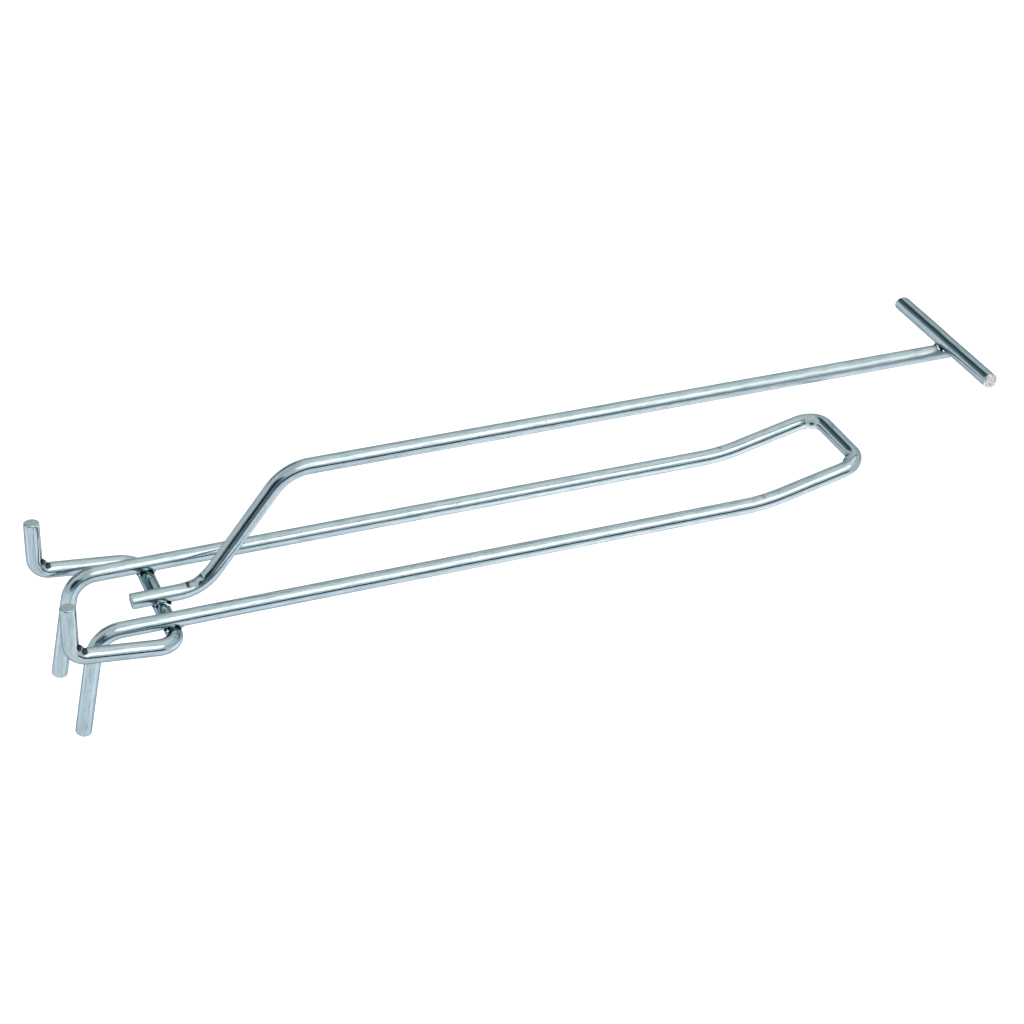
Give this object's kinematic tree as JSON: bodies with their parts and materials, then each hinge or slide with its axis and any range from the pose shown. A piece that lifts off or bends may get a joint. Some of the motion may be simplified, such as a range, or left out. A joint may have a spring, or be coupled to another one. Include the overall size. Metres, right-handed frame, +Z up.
{
  "type": "panel display hook",
  "caption": "Welded wire display hook: twin prongs with a turned-up front loop, a pegged bracket for a perforated panel, and a raised arm with a cross bar for a price label.",
  "frame": {"origin": "midway between the bracket's two runs, on the front face of the panel that the hook hangs on", "axes": "+Y out from the panel along the hook, +Z up, +X across"},
  "size_m": [0.06, 0.3008, 0.105],
  "materials": {
    "plated_wire": "bright blue zinc plate over drawn steel wire",
    "weld_metal": "plated resistance weld, pitted and darker than the wire"
  },
  "bodies": {
    "root": {"prong_wire": "plated_wire", "bracket_wire": "plated_wire", "label_arm": "plated_wire", "label_bar": "plated_wire", "weld_prong_right": "weld_metal", "weld_prong_left": "weld_metal", "weld_arm_foot": "weld_metal", "weld_label_bar": "weld_metal"}
  },
  "joints": []
}
